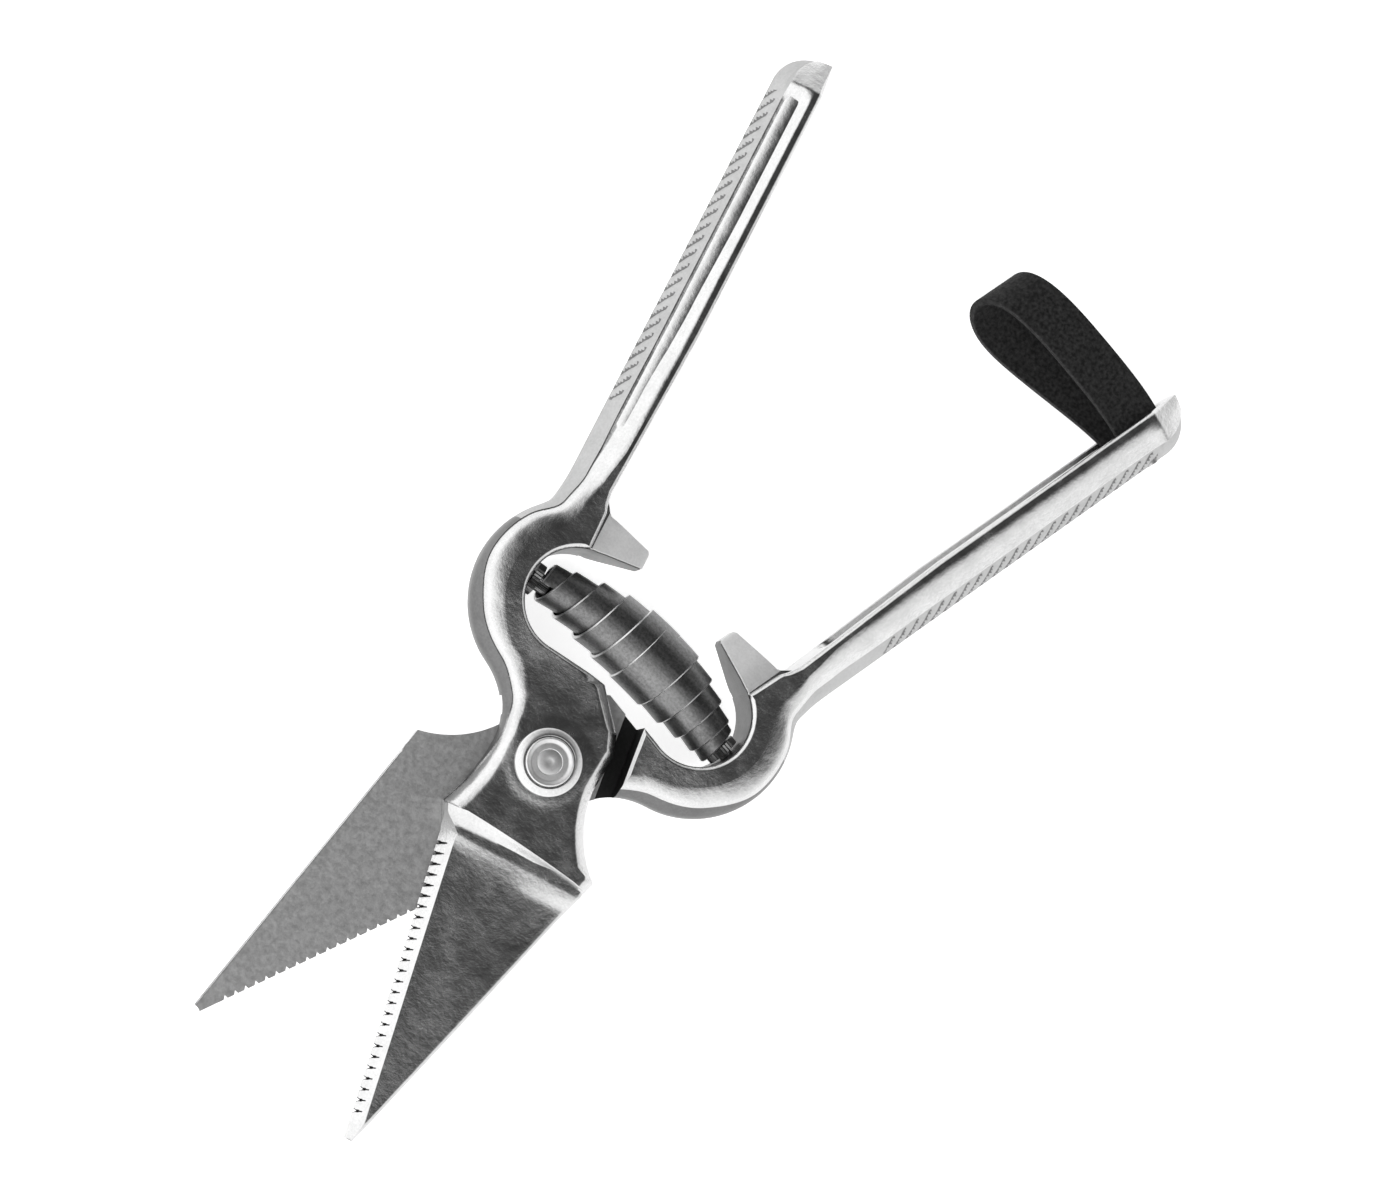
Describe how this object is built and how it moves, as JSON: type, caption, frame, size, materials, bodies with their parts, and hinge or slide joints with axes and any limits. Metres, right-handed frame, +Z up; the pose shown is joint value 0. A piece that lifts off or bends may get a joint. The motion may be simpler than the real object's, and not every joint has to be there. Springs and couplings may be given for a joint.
{
  "type": "poultry shears",
  "caption": "Forged steel poultry shears with serrated blades, riveted lap joint, double volute return spring, channel handles and a leather latch strap.",
  "frame": {"origin": "on the pivot axis, at the flat rear end of the pivot rivet, on which the shears lie", "axes": "+Z up the pivot axis towards the front rivet head, +Y halves the angle between the handles and points to them, +X to the rear lever's handle"},
  "size_m": [0.1076, 0.2153, 0.0152],
  "materials": {
    "plated_steel": "polished plated forging, ground satin on the blades' inner faces",
    "rivet_steel": "turned and polished",
    "spring_steel": "dark tempered strip with bright sheared edges",
    "stud_steel": "knurled, oiled",
    "black_leather": "matte black, fine grain"
  },
  "bodies": {
    "front_half": {"front_lever": "plated_steel", "pivot_rivet": "rivet_steel", "front_cup_washer": "rivet_steel", "rear_cup_washer": "rivet_steel", "front_spring_stud": "stud_steel"},
    "rear_half": {"rear_lever": "plated_steel", "rear_spring_stud": "stud_steel", "latch_strap": "black_leather", "strap_rivet": "stud_steel", "strap_washer": "stud_steel"},
    "spring": {"volute_spring": "spring_steel"}
  },
  "joints": [
    {"name": "handle_pivot", "type": "hinge", "parent": "front_half", "child": "rear_half", "pos_m": [0, 0, 0.0076], "axis": [0, 0, 1], "range_deg": [0, 27.5], "stiffness_Nm_per_rad": 4, "springref_deg": -5.73, "deforming": ["volute_spring", "latch_strap"]},
    {"name": "spring_lean", "type": "hinge", "parent": "front_half", "child": "spring", "pos_m": [-0.02295, 0.0252, 0.0076], "axis": [0, 0, 1], "range_deg": [0, 13.75], "deforming": ["volute_spring"]}
  ],
  "couplings": [
    {"joint": "spring_lean", "follows": "handle_pivot", "ratio": 0.5}
  ]
}
